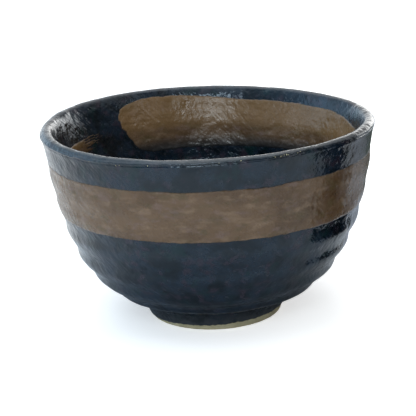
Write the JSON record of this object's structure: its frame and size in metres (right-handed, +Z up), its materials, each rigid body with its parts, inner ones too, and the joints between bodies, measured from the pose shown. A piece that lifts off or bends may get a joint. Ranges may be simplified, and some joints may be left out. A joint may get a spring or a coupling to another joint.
{
  "type": "matcha bowl",
  "caption": "Round-bellied stoneware tea bowl on a turned foot, for whisking and drinking matcha, with dark glossy glaze and brushed brown bands inside and out.",
  "frame": {"origin": "centre of the foot's standing face", "axes": "+Z up, along the bowl's turning axis; -Y faces the viewer; +X to the viewer's right"},
  "size_m": [0.125, 0.125, 0.0745],
  "materials": {
    "stoneware_clay": "fired, unglazed, slightly sandy",
    "dark_glaze": "glossy, faintly mottled and rippled",
    "brown_glaze": "semi-gloss, cloudy, brushed edges"
  },
  "bodies": {
    "root": {"clay_bowl": "stoneware_clay", "foot_ring": "stoneware_clay", "outside_glaze": "dark_glaze", "inside_glaze": "dark_glaze", "foot_well_glaze": "dark_glaze", "outside_brown_band": "brown_glaze", "inside_brown_stroke": "brown_glaze"}
  },
  "joints": []
}
